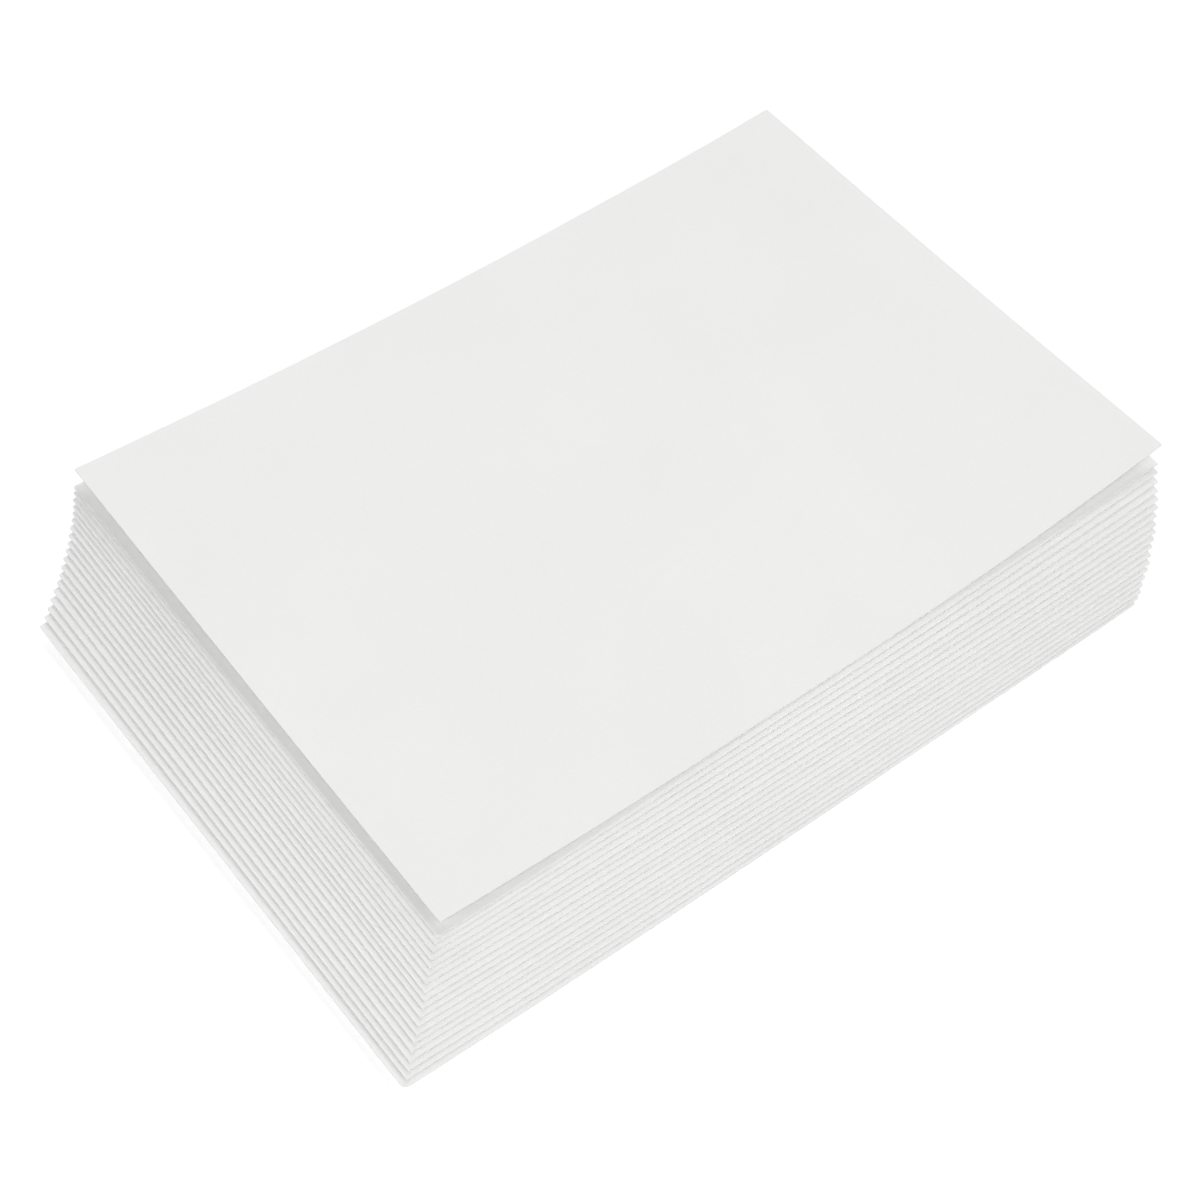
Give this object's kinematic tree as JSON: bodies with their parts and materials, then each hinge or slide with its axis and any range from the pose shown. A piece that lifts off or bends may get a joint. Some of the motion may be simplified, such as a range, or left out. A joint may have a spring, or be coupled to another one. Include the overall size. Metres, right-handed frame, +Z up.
{
  "type": "stack of watercolor paper",
  "caption": "Loose fanned stack of heavy white watercolor paper sheets, gently cupped, for painting, drawing and printmaking.",
  "frame": {"origin": "centre of the stack's outline seen from above, on the surface that it rests on", "axes": "+X along the long side of the sheets, towards the end that the top sheet reaches over; +Y along the short side, towards the back; +Z up through the stack"},
  "size_m": [0.2356, 0.1702, 0.0201],
  "materials": {
    "paper": "matt, uncoated, with a fine felt grain and plain cut edges"
  },
  "bodies": {
    "root": {"sheet_01": "paper", "sheet_02": "paper", "sheet_03": "paper", "sheet_04": "paper", "sheet_05": "paper", "sheet_06": "paper", "sheet_07": "paper", "sheet_08": "paper", "sheet_09": "paper", "sheet_10": "paper", "sheet_11": "paper", "sheet_12": "paper", "sheet_13": "paper", "sheet_14": "paper", "sheet_15": "paper", "sheet_16": "paper", "sheet_17": "paper", "sheet_18": "paper", "sheet_19": "paper", "sheet_20": "paper"}
  },
  "joints": []
}
